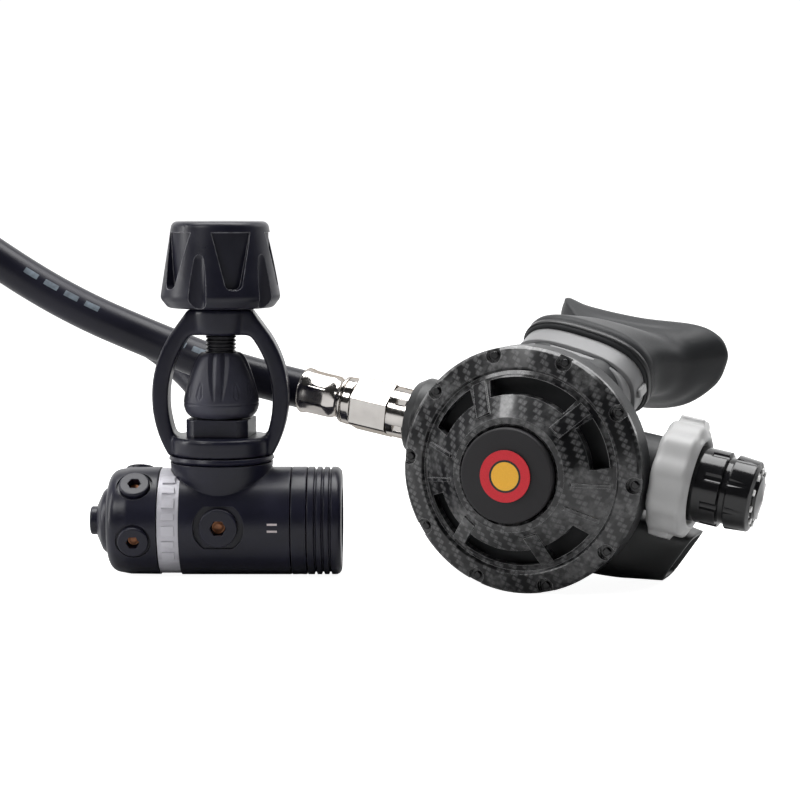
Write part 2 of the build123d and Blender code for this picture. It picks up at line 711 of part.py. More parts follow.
# ---------------------------------------------------------------- mouthpiece
def mouthpiece():
    """Silicone mouthpiece on the case's tube, with its clamp."""
    bite = Plane(
        origin=STAGE2.from_local_coords(Vector(14.0, 38.5, -74.0)),
        x_dir=RIGHT,
        z_dir=RIGHT * 0.12 + UP * 0.1 - FRONT * 0.98,
    )
    sleeve_low = MOUTH_LENGTH - 11.0
    sleeve = oval(MOUTH, 47.0, 30.5, sleeve_low, MOUTH_LENGTH + 2.0)
    root = Plane(origin=MOUTH.from_local_coords(Vector(0, 0, MOUTH_LENGTH + 2.0)), x_dir=MOUTH.x_dir, z_dir=MOUTH.z_dir)
    outer = loft([root * SlotOverall(46.0, 29.5), bite * SlotOverall(42.0, 22.0)])
    inner = loft([root * SlotOverall(38.0, 21.5), bite * SlotOverall(34.0, 14.0)])
    flange = oval(bite, 60.0, 33.0, -2.0, 1.6)
    body = sleeve + outer + flange
    for way in (-1, 1):
        tab = bite.location * (Pos(way * 17.0, 0, 8.0) * Box(12.0, 12.0, 15.0))
        lip = bite.location * (Pos(way * 17.0, 0, 14.5) * Box(12.0, 16.0, 2.6))
        body += tab + lip
    body -= inner
    body -= oval(bite, 34.0, 14.0, -3.0, 20.0)
    body -= oval(MOUTH, 43.05, 26.55, sleeve_low - 1, MOUTH_LENGTH + 0.05)
    body -= oval(MOUTH, 38.0, 21.5, MOUTH_LENGTH - 1, MOUTH_LENGTH + 2.1)
    body = body.solids().sort_by(SortBy.VOLUME)[-1]
    keep("mouthpiece", body)
    clamp = oval(MOUTH, 48.8, 32.3, sleeve_low + 2.0, sleeve_low + 6.5)
    clamp -= oval(MOUTH, 47.05, 30.55, sleeve_low, sleeve_low + 8)
    clamp += MOUTH.location * (Pos(25.8, -3.0, sleeve_low + 4.2) * Box(3.4, 6.0, 5.0))
    keep("mouthpiece_clamp", clamp)


for make in (main_body, band, body_cap, valve_train, turret, yoke, dust_cap, yoke_screw, hose,
             case, exhaust, cover, demand_valve, controls, mouthpiece):
    make()

os.makedirs("parts", exist_ok=True)
for name, solids in nodes.items():
    moved = [Pos(-SET_ORIGIN[0], -SET_ORIGIN[1], -SET_ORIGIN[2]) * solid for solid in solids]
    shape = moved[0] if len(moved) == 1 else Compound(children=moved)
    export_step(shape, f"parts/{name}.step")
print(len(nodes), "nodes written")

on_the_hose = ("hose", "hose_fitting", "first_ferrule", "second_ferrule", "hose_collar")
boxes = [s.bounding_box() for n, group in nodes.items() if n not in on_the_hose for s in group]
low = [min(getattr(b.min, axis) for b in boxes) for axis in "XYZ"]
high = [max(getattr(b.max, axis) for b in boxes) for axis in "XYZ"]
print("object without the hose:", [round(v, 2) for v in low], [round(v, 2) for v in high])
print("middle:", [round((a + b) / 2, 2) for a, b in zip(low, high)])
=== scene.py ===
"""Looks of the scuba regulator set: metres, in the frame of the part.

Places inside the set are written in millimetres in the part's building frame, where X = 0,
Y = 0 is the axis of the yoke, and at() brings them into this scene.
"""
import json
from math import atan2, cos, exp, pi, radians, sin

import bmesh
import bpy
from mathutils import Matrix, Vector


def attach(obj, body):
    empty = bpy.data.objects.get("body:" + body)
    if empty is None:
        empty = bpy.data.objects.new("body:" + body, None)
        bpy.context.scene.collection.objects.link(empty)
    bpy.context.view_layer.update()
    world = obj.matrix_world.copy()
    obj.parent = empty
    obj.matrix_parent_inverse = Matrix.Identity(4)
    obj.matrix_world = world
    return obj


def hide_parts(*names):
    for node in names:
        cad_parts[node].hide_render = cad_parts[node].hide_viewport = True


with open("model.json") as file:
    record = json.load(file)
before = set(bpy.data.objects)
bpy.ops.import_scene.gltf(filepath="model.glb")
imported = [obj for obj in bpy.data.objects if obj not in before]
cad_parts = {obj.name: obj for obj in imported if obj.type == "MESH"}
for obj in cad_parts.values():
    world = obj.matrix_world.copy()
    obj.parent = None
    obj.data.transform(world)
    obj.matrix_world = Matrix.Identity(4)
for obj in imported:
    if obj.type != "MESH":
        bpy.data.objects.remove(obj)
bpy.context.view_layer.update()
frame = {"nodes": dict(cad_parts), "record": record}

# ---------------------------------------------------------------- places
MM = 0.001
SET_ORIGIN = Vector((67.7, -2.5, 0.0))   # where this scene's origin is in the building frame
BARREL_R = 18.5
COVER_R = 40.5
COVER_YAW = 21.5                 # degrees the cover faces to the left of the front
COVER_ROLL = 10.5                # degrees the valve barrel points down at its right end
HOSE_D = 13.5
FERRULE_END = -88.0              # along the valve barrel's axis, where the hose starts
LP_X = -28.6                     # of the ring of low-pressure ports
LP_ANGLES = (-15, 50, 115)       # plugged ports, degrees from the front horizontal, upwards


def at(point):
    """A point of the building frame, in millimetres, as a point of this scene."""
    return (Vector(point) - SET_ORIGIN) * MM


def directions(yaw, roll):
    """Unit vectors (right, up, front) of the second stage's cover."""
    a, b = radians(yaw), radians(roll)
    front = Vector((-sin(a), -cos(a), 0))
    right = Vector((cos(a) * cos(b), -sin(a) * cos(b), -sin(b)))
    return right, front.cross(right), front


def plane(origin, x_dir, z_dir):
    """Matrix that takes millimetres in a local frame to this scene."""
    z = z_dir.normalized()
    x = (x_dir - z * x_dir.dot(z)).normalized()
    turn = Matrix((x, z.cross(x), z)).transposed().to_4x4()
    return Matrix.Translation(at(origin)) @ turn @ Matrix.Scale(MM, 4)


RIGHT, UP, FRONT = directions(COVER_YAW, COVER_ROLL)
COVER_CENTRE = Vector((100.0, -36.5, COVER_R))
VALVE_CENTRE = COVER_CENTRE + UP * 5.5 - FRONT * 22.0
UPRIGHT = plane(Vector((0, 0, 0)), Vector((1, 0, 0)), Vector((0, 0, 1)))
STAGE2 = plane(COVER_CENTRE, RIGHT, FRONT)
VALVE = plane(VALVE_CENTRE, UP, RIGHT)


def on_cover(x, y, z):
    """A point in the cover's frame (right, up, front of its rim) as a building-frame point."""
    return COVER_CENTRE + RIGHT * x + UP * y + FRONT * z


MOUTH = plane(on_cover(0.5, 20.5, -25.0), RIGHT, RIGHT * 0.13 + UP * 0.52 - FRONT * 0.85)
BITE = plane(on_cover(14.0, 38.5, -74.0), RIGHT, RIGHT * 0.12 + UP * 0.1 - FRONT * 0.98)


def add(name, data):
    """New object in the scene for a mesh, curve, lamp or camera."""
    made = bpy.data.objects.new(name, data)
    bpy.context.scene.collection.objects.link(made)
    return made


# ---------------------------------------------------------------- camera
CAMERA_PLACE = (61.0, -700.0, 128.0)
CAMERA_DOWN = 5.55               # degrees below level
CAMERA_LENS = 92.655
CAMERA_SENSOR = 36.0


def make_camera():
    """Camera a little above the set, in front of it."""
    data = bpy.data.cameras.new("camera")
    data.lens = CAMERA_LENS
    data.sensor_width = CAMERA_SENSOR
    data.clip_start = 0.05
    data.clip_end = 50.0
    camera = add("camera", data)
    camera.location = at(CAMERA_PLACE)
    camera.rotation_euler = (radians(90 - CAMERA_DOWN), 0, 0)
    bpy.context.scene.camera = camera


make_camera()

# ---------------------------------------------------------------- hose
HOSE_START = VALVE_CENTRE + RIGHT * FERRULE_END
HOSE_POINTS = [
    HOSE_START,
    HOSE_START - RIGHT * 26,
    (-22, 33, 76),
    (-59, 36, 91.5),
    (-96, 39, 115.5),
    (-134, 49, 141),
    (-170, 77, 158),
    (-190, 124, 158),
    (-184, 173, 141),
    (-155, 208, 118),
    (-117, 227, 98.5),
    (-78, 231, 77.5),
    (-44, 223, 61),
    (-20, 202, 39),
    (-10, 172, 17.3),
    (-13, 139, 5.7),
    (-23, 107, 8.6),
    (LP_X, 80, BARREL_R),
    (LP_X, 51, BARREL_R),
]


def hose_curve(name, bevel):
    """Open NURBS curve along the hose's route."""
    data = bpy.data.curves.new(name, "CURVE")
    data.dimensions = "3D"
    data.resolution_u = 16
    data.bevel_depth = bevel
    data.bevel_resolution = 12
    spline = data.splines.new("NURBS")
    spline.points.add(len(HOSE_POINTS) - 1)
    for control, point in zip(spline.points, HOSE_POINTS):
        control.co = (*at(point), 1.0)
    spline.order_u = 3
    spline.use_endpoint_u = True
    return add(name, data)


# ---------------------------------------------------------------- meshes
def new_object(name, mesh, body, material):
    """Smooth piece, made from a finished mesh, that rides on a body."""
    piece = add(name, mesh)
    for face in mesh.polygons:
        face.use_smooth = True
    mesh.materials.append(material)
    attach(piece, body)
    return piece


def finished(work, name):
    """Mesh made from a bmesh, with its faces turned the same way."""
    mesh = bpy.data.meshes.new(name)
    bmesh.ops.recalc_face_normals(work, faces=work.faces)
    work.to_mesh(mesh)
    work.free()
    return mesh


def skin(loops, matrix=None, ring=False, capped=True):
    """Quads through loops of points; ring joins the last loop to the first, capped fills both ends."""
    place = matrix or Matrix.Identity(4)
    work = bmesh.new()
    rows = [[work.verts.new(place @ Vector(point)) for point in loop] for loop in loops]
    pairs = list(zip(rows, rows[1:]))
    if ring:
        pairs.append((rows[-1], rows[0]))
    for low, high in pairs:
        for i in range(len(low)):
            j = (i + 1) % len(low)
            work.faces.new((low[i], low[j], high[j], high[i]))
    if capped and not ring:
        work.faces.new(rows[0][::-1])
        work.faces.new(rows[-1])
    return finished(work, "skin")


def clamp(value):
    """The value, kept between 0 and 1."""
    return max(0.0, min(1.0, value))


def off_angle(angle, middle):
    """Signed angle from a middle one, by the short way round."""
    return (angle - middle + pi) % (2 * pi) - pi


def circle(radius, height, count, shape=None):
    """Loop of points round the Z axis; shape(angle, radius, height) may change the radius."""
    points = []
    for i in range(count):
        angle = 2 * pi * i / count
        r = shape(angle, radius, height) if shape else radius
        points.append((r * cos(angle), r * sin(angle), height))
    return points


def smooth_line(points, steps):
    """Catmull-Rom curve through the points, with steps pieces between each two."""
    line = []
    padded = [points[0], *points, points[-1]]
    for a, b, c, d in zip(padded, padded[1:], padded[2:], padded[3:]):
        for i in range(steps):
            t = i / steps
            line.append(tuple(
                0.5 * (2 * q + (r - p) * t + (2 * p - 5 * q + 4 * r - s) * t * t
                       + (3 * q - p - 3 * r + s) * t ** 3)
                for p, q, r, s in zip(a, b, c, d)
            ))
    line.append(tuple(points[-1]))
    return line


def flow(loops, steps):
    """The loops with more between them, on smooth curves through their matching points."""
    curves = [smooth_line([tuple(point) for point in path], steps) for path in zip(*loops)]
    return [list(row) for row in zip(*curves)]


def oval(width, height, level, count, power, change=None):
    """Loop of an oval between a box and an ellipse; change(x, y, z, angle) may move its points."""
    points = []
    for i in range(count):
        angle = 2 * pi * i / count
        c, s = cos(angle), sin(angle)
        r = (abs(c) ** power + abs(s) ** power) ** (-1 / power)
        point = (width / 2 * r * c, height / 2 * r * s, level)
        points.append(change(*point, angle) if change else point)
    return points


# ---------------------------------------------------------------- materials
class Look:
    """A material's node tree, with short calls for the nodes that are used here."""

    def __init__(self, name):
        self.material = bpy.data.materials.new(name)
        self.material.use_nodes = True
        self.tree = self.material.node_tree
        self.shader = self.tree.nodes["Principled BSDF"]

    def node(self, kind, inputs=None, **settings):
        made = self.tree.nodes.new(kind)
        for key, value in settings.items():
            setattr(made, key, value)
        for key, value in (inputs or {}).items():
            if isinstance(value, bpy.types.NodeSocket):
                self.tree.links.new(value, made.inputs[key])
            else:
                made.inputs[key].default_value = value
        return made

    def math(self, operation, a, b=0.0):
        return self.node("ShaderNodeMath", {0: a, 1: b}, operation=operation).outputs[0]

    def mapped(self, vector, **change):
        """Coordinates after a Location, Rotation or Scale."""
        return self.node("ShaderNodeMapping", {"Vector": vector, **change}).outputs[0]

    def place(self, matrix=None):
        """Coordinates fixed to the piece, in metres, or in a local frame's millimetres."""
        source = self.node("ShaderNodeTexCoord").outputs["Object"]
        if matrix is None:
            return source
        back = matrix.inverted()
        return self.mapped(source, Location=back.translation, Rotation=back.to_euler(),
                           Scale=(1 / MM, 1 / MM, 1 / MM))

    def noise(self, scale, detail=3.0, vector=None, roughness=0.5):
        where = vector or self.place()
        made = self.node("ShaderNodeTexNoise", {
            "Vector": where, "Scale": scale, "Detail": detail, "Roughness": roughness,
        })
        return made.outputs["Fac"]

    def spread(self, value, low, high, from_low=0.3, from_high=0.7):
        made = self.node("ShaderNodeMapRange", {
            "Value": value, "From Min": from_low, "From Max": from_high,
            "To Min": low, "To Max": high,
        })
        return made.outputs[0]

    def blend(self, share, first, second):
        made = self.node("ShaderNodeMix", {0: share, 6: first, 7: second}, data_type="RGBA")
        return made.outputs[2]

    def rounded(self, radius):
        """Normal that rounds sharp edges, and a mask that is 1 on them."""
        soft = self.node("ShaderNodeBevel", {"Radius": radius}, samples=4).outputs[0]
        flat = self.node("ShaderNodeNewGeometry").outputs["Normal"]
        same = self.node("ShaderNodeVectorMath", {0: soft, 1: flat}, operation="DOT_PRODUCT")
        edge = self.spread(same.outputs["Value"], 1.0, 0.0, 0.80, 0.985)
        return soft, edge

    def link(self, socket, value):
        self.tree.links.new(value, self.shader.inputs[socket])

    def put(self, **values):
        for socket, value in values.items():
            self.shader.inputs[socket.replace("_", " ")].default_value = value

    def bump(self, height, strength, distance, normal):
        """Fine relief on top of the rounded edges."""
        made = self.node("ShaderNodeBump", {
            "Height": height, "Strength": strength, "Distance": distance, "Normal": normal,
        })
        self.link("Normal", made.outputs[0])


def shade(colour, factor):
    return (*[min(1.0, c * factor) for c in colour[:3]], 1.0)


EDGE_PATCH_SCALE = 400.0               # of the noise that breaks up the lighter edges, both wear and painted highlight, per metre
GRAIN_DEPTH = 0.06 * MM


def finish_look(name, colour, roughness, metallic=0.0, mottle=0.2, mottle_scale=90.0,
                grain_scale=2500.0, grain=0.3, spread=0.12, edge=0.35, edge_wear_and_highlight=None, edge_wear_and_highlight_share=0.5,
                specular=0.5, coat=0.0, coat_roughness=0.1, sheen=0.0, stretch=None):
    """Look with colour mottling, roughness variation, a fine grain and rounded edges that are lighter
    in patches: wear on some finishes, a painted highlight on others.
    """
    look = Look(name)
    where = look.place()
    if stretch:
        where = look.mapped(where, Scale=stretch)
    broad = look.noise(mottle_scale, 4.0, where)
    fine = look.noise(grain_scale, 2.0, where)
    base = look.blend(look.spread(broad, 0, 1), shade(colour, 1 - mottle), shade(colour, 1 + mottle))
    soft, rim = look.rounded(edge * MM)
    # Lighter colour in patches along the edges: real wear on some finishes, painted edge highlights on
    # others, such as the knob.
    if edge_wear_and_highlight:
        patches = look.spread(look.noise(EDGE_PATCH_SCALE, 3.0, where), 0.3, 1.0)
        edge_wear_and_highlight_mask = look.math("MULTIPLY", look.math("MULTIPLY", rim, patches), edge_wear_and_highlight_share)
        base = look.blend(edge_wear_and_highlight_mask, base, (*edge_wear_and_highlight, 1.0))
    look.link("Base Color", base)
    rough = look.spread(broad, roughness - spread / 2, roughness + spread / 2)
    look.link("Roughness", look.math("ADD", rough, look.spread(fine, -0.03, 0.03)))
    look.bump(fine, grain, GRAIN_DEPTH, soft)
    look.put(Metallic=metallic, Specular_IOR_Level=specular, Coat_Weight=coat,
             Coat_Roughness=coat_roughness, Sheen_Weight=sheen, Sheen_Roughness=0.4)
    return look


def carbon_look():
    """Twill tows printed from the front, blurred in places, under a clear coat, with painted
    highlights along sharp edges.
    """
    turn = (0, 0, radians(14))
    cells_per_mm = (0.66, 0.60, 1.0)
    fibres_per_mm = (4.0, 0.6, 1.0)
    waviness = 1.1                # mm that the tows wander to either side
    look = Look("carbon_print")
    where = look.place(STAGE2)
    drift = look.node("ShaderNodeTexNoise", {"Vector": where, "Scale": 0.22, "Detail": 2.0})
    moved = look.node("ShaderNodeVectorMath", {0: drift.outputs["Color"], 1: (0.5, 0.5, 0.5)},
                      operation="SUBTRACT").outputs[0]
    moved = look.node("ShaderNodeVectorMath", {0: moved, "Scale": waviness},
                      operation="SCALE").outputs[0]
    where = look.node("ShaderNodeVectorMath", {0: where, 1: moved}, operation="ADD").outputs[0]

    cell = look.node("ShaderNodeSeparateXYZ",
                     {0: look.mapped(where, Rotation=turn, Scale=cells_per_mm)})
    across, along = cell.outputs[0], cell.outputs[1]
    step = look.math("ADD", look.math("FLOOR", across), look.math("FLOOR", along))
    over = look.math("LESS_THAN", look.math("FLOORED_MODULO", step, 4.0), 1.5)
    side = look.spread(look.math("PINGPONG", across, 0.5), 0.35, 1, 0.0, 0.3)
    end = look.spread(look.math("PINGPONG", along, 0.5), 0.1, 1, 0.0, 0.25)
    tow = look.math("MULTIPLY", over, look.math("MULTIPLY", side, end))

    fibres = look.noise(2.2, 2.0, look.mapped(where, Rotation=turn, Scale=fibres_per_mm))
    light = look.blend(look.spread(fibres, 0, 1), (0.020, 0.020, 0.021, 1), (0.15, 0.15, 0.153, 1))
    weave = look.blend(tow, (0.004, 0.004, 0.005, 1), light)
    smear = look.spread(look.noise(0.5, 3.0, where, roughness=0.6), 0, 1)
    smeared = look.blend(smear, (0.012, 0.012, 0.013, 1), (0.17, 0.17, 0.172, 1))
    blur = look.noise(0.09, 3.0, where)
    weave = look.blend(look.spread(blur, 0.0, 0.7, 0.50, 0.66), weave, smeared)
    soft, rim = look.rounded(0.30 * MM)
    # Pale grey along sharp edges: painted highlights on the ridges and window edges.
    weave = look.blend(look.math("MULTIPLY", rim, 0.85), weave, (0.42, 0.42, 0.425, 1))
    look.link("Base Color", weave)
    look.link("Roughness", look.spread(fibres, 0.28, 0.42))
    look.bump(tow, 0.25, 0.05 * MM, soft)
    look.put(Coat_Weight=0.75, Coat_Roughness=0.09, Specular_IOR_Level=0.25)
    return look.material


def emblem_look():
    """Plain two-colour disc: a yellow centre in a red ring, with a thin dark line between."""
    yellow_radius, ring_radius = 4.6, 5.3
    look = Look("emblem")
    where = look.place(STAGE2)
    split = look.node("ShaderNodeSeparateXYZ", {0: where})
    flat = look.node("ShaderNodeCombineXYZ", {0: split.outputs[0], 1: split.outputs[1], 2: 0.0})
    far = look.node("ShaderNodeVectorMath", {0: flat.outputs[0]}, operation="LENGTH").outputs["Value"]
    speck = look.noise(3.0, 3.0, where)
    share = look.spread(speck, 0, 1)
    red = look.blend(share, (0.56, 0.010, 0.022, 1), (0.66, 0.016, 0.030, 1))
    yellow = look.blend(share, (0.86, 0.43, 0.028, 1), (0.94, 0.50, 0.045, 1))
    line = (0.012, 0.012, 0.013, 1)
    colour = look.blend(look.math("GREATER_THAN", far, yellow_radius), yellow, line)
    colour = look.blend(look.math("GREATER_THAN", far, ring_radius), colour, red)
    look.link("Base Color", colour)
    look.link("Roughness", look.spread(speck, 0.38, 0.5))
    look.bump(speck, 0.1, 0.03 * MM, look.rounded(0.15 * MM)[0])
    return look.material


def chrome_look():
    """Polished plating with faint wiping marks, darker where it turns away."""
    look = finish_look("chrome", (0.60, 0.575, 0.55), 0.12, metallic=1.0, mottle=0.10,
                       mottle_scale=140.0, grain_scale=900.0, grain=0.08, spread=0.08, edge=0.25)
    look.put(Specular_Tint=(0.42, 0.38, 0.34, 1.0))
    return look.material


# Colour, roughness and the rest of each plain finish: the record's slots, then what is only a look.
FINISHES = {
    "black_anodised": dict(
        colour=(0.0085, 0.0085, 0.0190), roughness=0.34, mottle=0.25, grain_scale=3500, grain=0.22,
        spread=0.07, edge=0.5, edge_wear_and_highlight=(0.10, 0.10, 0.12), specular=0.34, coat=0.06, coat_roughness=0.14),
    "trim_silver": dict(
        colour=(0.64, 0.63, 0.68), roughness=0.42, metallic=0.15, mottle=0.12, grain_scale=3000,
        grain=0.35, edge=0.2, edge_wear_and_highlight=(0.62, 0.63, 0.66), stretch=(1, 6, 1)),
    "screw_black": dict(
        colour=(0.009, 0.009, 0.012), roughness=0.33, mottle=0.3, edge=0.12, edge_wear_and_highlight=(0.10, 0.10, 0.11)),
    # the knob's pale edge colour is a painted highlight along its groove edges
    "knob_rubber": dict(
        colour=(0.0085, 0.0085, 0.018), roughness=0.36, mottle=0.16, grain_scale=2200, grain=0.5,
        edge=0.5, edge_wear_and_highlight=(0.50, 0.50, 0.54), edge_wear_and_highlight_share=0.9, specular=0.40),
    "cap_rubber": dict(
        colour=(0.034, 0.034, 0.050), roughness=0.44, mottle=0.3, grain_scale=1500, grain=0.5,
        edge=0.15, edge_wear_and_highlight=(0.06, 0.06, 0.07), specular=0.42, sheen=0.03),
    "hose_rubber": dict(
        colour=(0.007, 0.007, 0.015), roughness=0.36, mottle=0.25, mottle_scale=40,
        grain_scale=2600, grain=0.45, spread=0.1, edge=0.1, specular=0.30),
    "steel": dict(
        colour=(0.52, 0.52, 0.53), roughness=0.26, metallic=1.0, mottle=0.1, grain=0.2, edge=0.2,
        stretch=(1, 1, 8)),
    "brass": dict(
        colour=(0.56, 0.40, 0.17), roughness=0.28, metallic=1.0, mottle=0.15, grain=0.2, edge=0.2,
        edge_wear_and_highlight=(0.8, 0.65, 0.35)),
    "silicone": dict(
        colour=(0.027, 0.028, 0.030), roughness=0.46, mottle=0.14, mottle_scale=50,
        grain_scale=1800, grain=0.35, edge=0.5, specular=0.22),
    "case_grey": dict(
        colour=(0.030, 0.031, 0.033), roughness=0.42, mottle=0.1, grain_scale=2400, grain=0.35,
        edge=0.5, edge_wear_and_highlight=(0.13, 0.13, 0.14), edge_wear_and_highlight_share=0.3, specular=0.30),
    "black_plastic": dict(
        colour=(0.016, 0.017, 0.018), roughness=0.42, grain_scale=2400, grain=0.4, edge=0.6,
        edge_wear_and_highlight=(0.06, 0.06, 0.06), edge_wear_and_highlight_share=0.4),
    "gloss_black": dict(
        colour=(0.007, 0.007, 0.008), roughness=0.14, mottle=0.3, grain_scale=1600, grain=0.06,
        spread=0.05, edge=0.3),
    "button_black": dict(
        colour=(0.017, 0.016, 0.018), roughness=0.55, mottle=0.12, grain_scale=4000, grain=0.5,
        edge=0.3, specular=0.35),
    "dots_white": dict(colour=(0.85, 0.85, 0.84), roughness=0.3, mottle=0.05, grain=0.1, edge=0.15),
    "collar_grey": dict(
        colour=(0.44, 0.44, 0.44), roughness=0.38, mottle=0.05, grain_scale=2400, edge=0.8,
        edge_wear_and_highlight=(0.64, 0.64, 0.64), edge_wear_and_highlight_share=0.35),
    "clamp_tie": dict(colour=(0.020, 0.020, 0.022), roughness=0.38, mottle=0.1, edge=0.3),
    "hose_print_ink": dict(
        colour=(0.13, 0.16, 0.19), roughness=0.5, mottle=0.35, mottle_scale=500, edge=0.05),
    # lighter than case_grey though it is the same moulding: painted light on the mouth tube's lit top
    "tube_grey_painted_light": dict(colour=(0.23, 0.23, 0.235), roughness=0.42, mottle=0.08, edge=0.3),
    # painted brown reflection in the plugs' hexagon sockets
    "socket_painted_glint": dict(
        colour=(0.36, 0.15, 0.07), roughness=0.36, metallic=0.5, mottle=0.3, mottle_scale=900,
        grain=0.4, edge=0.1),
    "tie_tab": dict(colour=(0.62, 0.62, 0.62), roughness=0.4, mottle=0.08, edge=0.2),
    "mark_ink": dict(colour=(0.62, 0.55, 0.56), roughness=0.45, mottle=0.1, grain=0.2, edge=0.05),
}


def make_looks():
    """Every material, by the name of its slot or look."""
    looks = {name: finish_look(name, **finish).material for name, finish in FINISHES.items()}
    looks.update(chrome=chrome_look(), carbon_print=carbon_look(), emblem=emblem_look())
    return looks


LOOKS = make_looks()


def dress_nodes():
    """Give every carried-over CAD node the look of its material slot."""
    for part in frame["record"]["subparts"]:
        node = frame["nodes"][part["node"]]
        node.data.materials.clear()
        node.data.materials.append(LOOKS[part["material_slot"]])


def soften(node, voxel, passes):
    """Round a CAD node's sharp edges with modifiers; the voxel is in millimetres."""
    piece = frame["nodes"][node]
    remesh = piece.modifiers.new("remesh", "REMESH")
    remesh.mode = "VOXEL"
    remesh.voxel_size = voxel * MM
    remesh.use_smooth_shade = True
    smooth = piece.modifiers.new("smooth", "SMOOTH")
    smooth.factor = 0.5
    smooth.iterations = passes


dress_nodes()
soften("yoke_frame", voxel=0.45, passes=26)


# ---------------------------------------------------------------- hose and what is on it
def route_line():
    """Points along the hose's centreline, and the distance along it of each."""
    plain = hose_curve("route", 0.0)
    bpy.context.view_layer.update()
    evaluated = plain.evaluated_get(bpy.context.evaluated_depsgraph_get())
    mesh = bpy.data.meshes.new_from_object(evaluated)
    points = [v.co.copy() for v in mesh.vertices]
    bpy.data.objects.remove(plain)
    bpy.data.meshes.remove(mesh)
    along = [0.0]
    for before, here in zip(points, points[1:]):
        along.append(along[-1] + (here - before).length)
    return points, along


def on_route(points, along, distance):
    """Place and direction on the hose's centreline at a distance from its start."""
    step = max(1, next(i for i, far in enumerate(along) if far >= distance))
    share = (distance - along[step - 1]) / (along[step] - along[step - 1])
    before = points[max(0, step - 2)]
    after = points[min(step + 1, len(points) - 1)]
    return points[step - 1].lerp(points[step], share), (after - before).normalized()


PRINT_LIFT = 0.06 * MM           # of the print above the hose
PRINT_HALF_WIDTH = radians(9)    # seen from the hose's centreline
DASH, DASH_GAP = 5.5 * MM, 2.8 * MM
DASHES = 4                       # in a group
GROUP_START, GROUP_PITCH = 22 * MM, 60 * MM
BARE_END = 30 * MM               # of the hose, with no print


def dash_row(points, along, distance):
    """Five points across the print, at a distance along the hose."""
    place, forward = on_route(points, along, distance)
    side = Vector((0, -0.86, 0.5))
    side = (side - forward * side.dot(forward)).normalized()
    across = forward.cross(side)
    radius = HOSE_D / 2 * MM + PRINT_LIFT
    turns = [PRINT_HALF_WIDTH * share for share in (-1.0, -0.5, 0.0, 0.5, 1.0)]
    return [place + (side * cos(turn) + across * sin(turn)) * radius for turn in turns]


def printed_dashes():
    """Thin plain dashes printed along the hose, in groups, on the side that faces up and front."""
    points, along = route_line()
    work = bmesh.new()
    pieces = 4
    start = GROUP_START
    while start + GROUP_PITCH / 2 < along[-1] - BARE_END:
        for index in range(DASHES):
            low = start + index * (DASH + DASH_GAP)
            places = [low + DASH * piece / pieces for piece in range(pieces + 1)]
            rows = [[work.verts.new(p) for p in dash_row(points, along, far)] for far in places]
            for one, two in zip(rows, rows[1:]):
                for k in range(len(one) - 1):
                    work.faces.new((one[k], one[k + 1], two[k + 1], two[k]))
        start += GROUP_PITCH
    return new_object("hose_print", finished(work, "print"), "turret",
                      LOOKS["hose_print_ink"])


def make_ferrule():
    """Chrome ferrule on the hose's end, crimped round its middle."""
    flats, depth = 8, 0.5
    centre, half_length = -81.0, 5.5
    bore, rear = 6.72, -88.6

    def crimp(angle, radius, height):
        """Pressed flats that fade out towards the ferrule's ends."""
        share = exp(-((height - centre) / half_length) ** 4)
        return radius - depth * share * (0.5 + 0.5 * cos(flats * angle)) ** 0.5

    outline = [
        (7.0, rear), (7.7, rear), (7.95, -88.2), (7.95, -87.2), (7.7, -86.2), (7.65, -84.0),
        (7.6, -81.5), (7.6, -79.0), (7.55, -76.8), (6.9, -75.8), (6.7, -74.6), (6.9, -73.6),
        (7.9, -73.2), (8.1, -72.8), (8.1, -72.3), (7.9, -72.1), (5.2, -72.1),
    ]
    loops = [circle(r, h, 96, crimp) for r, h in outline] + [circle(bore, rear, 96)]
    ferrule = new_object("ferrule_crimped", skin(loops, VALVE, ring=True), "turret",
                         LOOKS["chrome"])
    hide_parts("second_ferrule")
    return ferrule


def make_hose():
    """The hose with its crimped ferrule and its print."""
    hose = hose_curve("hose_line", HOSE_D / 2 * MM)
    hose.data.materials.append(LOOKS["hose_rubber"])
    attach(hose, "turret")
    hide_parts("hose")
    ferrule = make_ferrule()
    at(HOSE_START)
    printed_dashes()


make_hose()


# ---------------------------------------------------------------- first stage details
GROOVE_FOOT, GROOVE_RISE, GROOVE_DEPTH = 60.5, 15.5, 1.15
GROOVE_MIDDLE = radians(-91)     # direction of a pair of grooves, which come every quarter turn
ARCH_FOOT, ARCH_RISE, ARCH_DEPTH = 60.8, 5.6, 0.26
PARTING_LEVEL, PARTING_DEPTH = 59.2, 0.2


def dust_cap_relief(angle, radius, height):
    """Radius less the paired grooves that widen upwards, the arches and the parting line."""
    inner_radius, inner_top = 8.0, 70
    if radius < inner_radius and height < inner_top:
        return radius
    quarter = pi / 2
    off = abs((angle - GROOVE_MIDDLE + quarter / 2) % quarter - quarter / 2)
    reach = clamp((height - GROOVE_FOOT) / GROOVE_RISE)
    middle = radians(6 + 10 * reach)
    width = radians(2.0 + 9.5 * reach)
    depth = GROOVE_DEPTH * reach ** 0.55 * max(0.0, 1 - abs(off - middle) / width)
    share = (height - ARCH_FOOT) / ARCH_RISE
    if 0 < share < 1:
        arch = radians(5.5) * (1 - share) ** 0.55 * min(1.0, share * 5)
        depth += ARCH_DEPTH * exp(-((abs(off - radians(31)) - arch) / radians(1.3)) ** 2)
    depth += PARTING_DEPTH * exp(-((height - PARTING_LEVEL) / 0.2) ** 2)
    return radius - depth


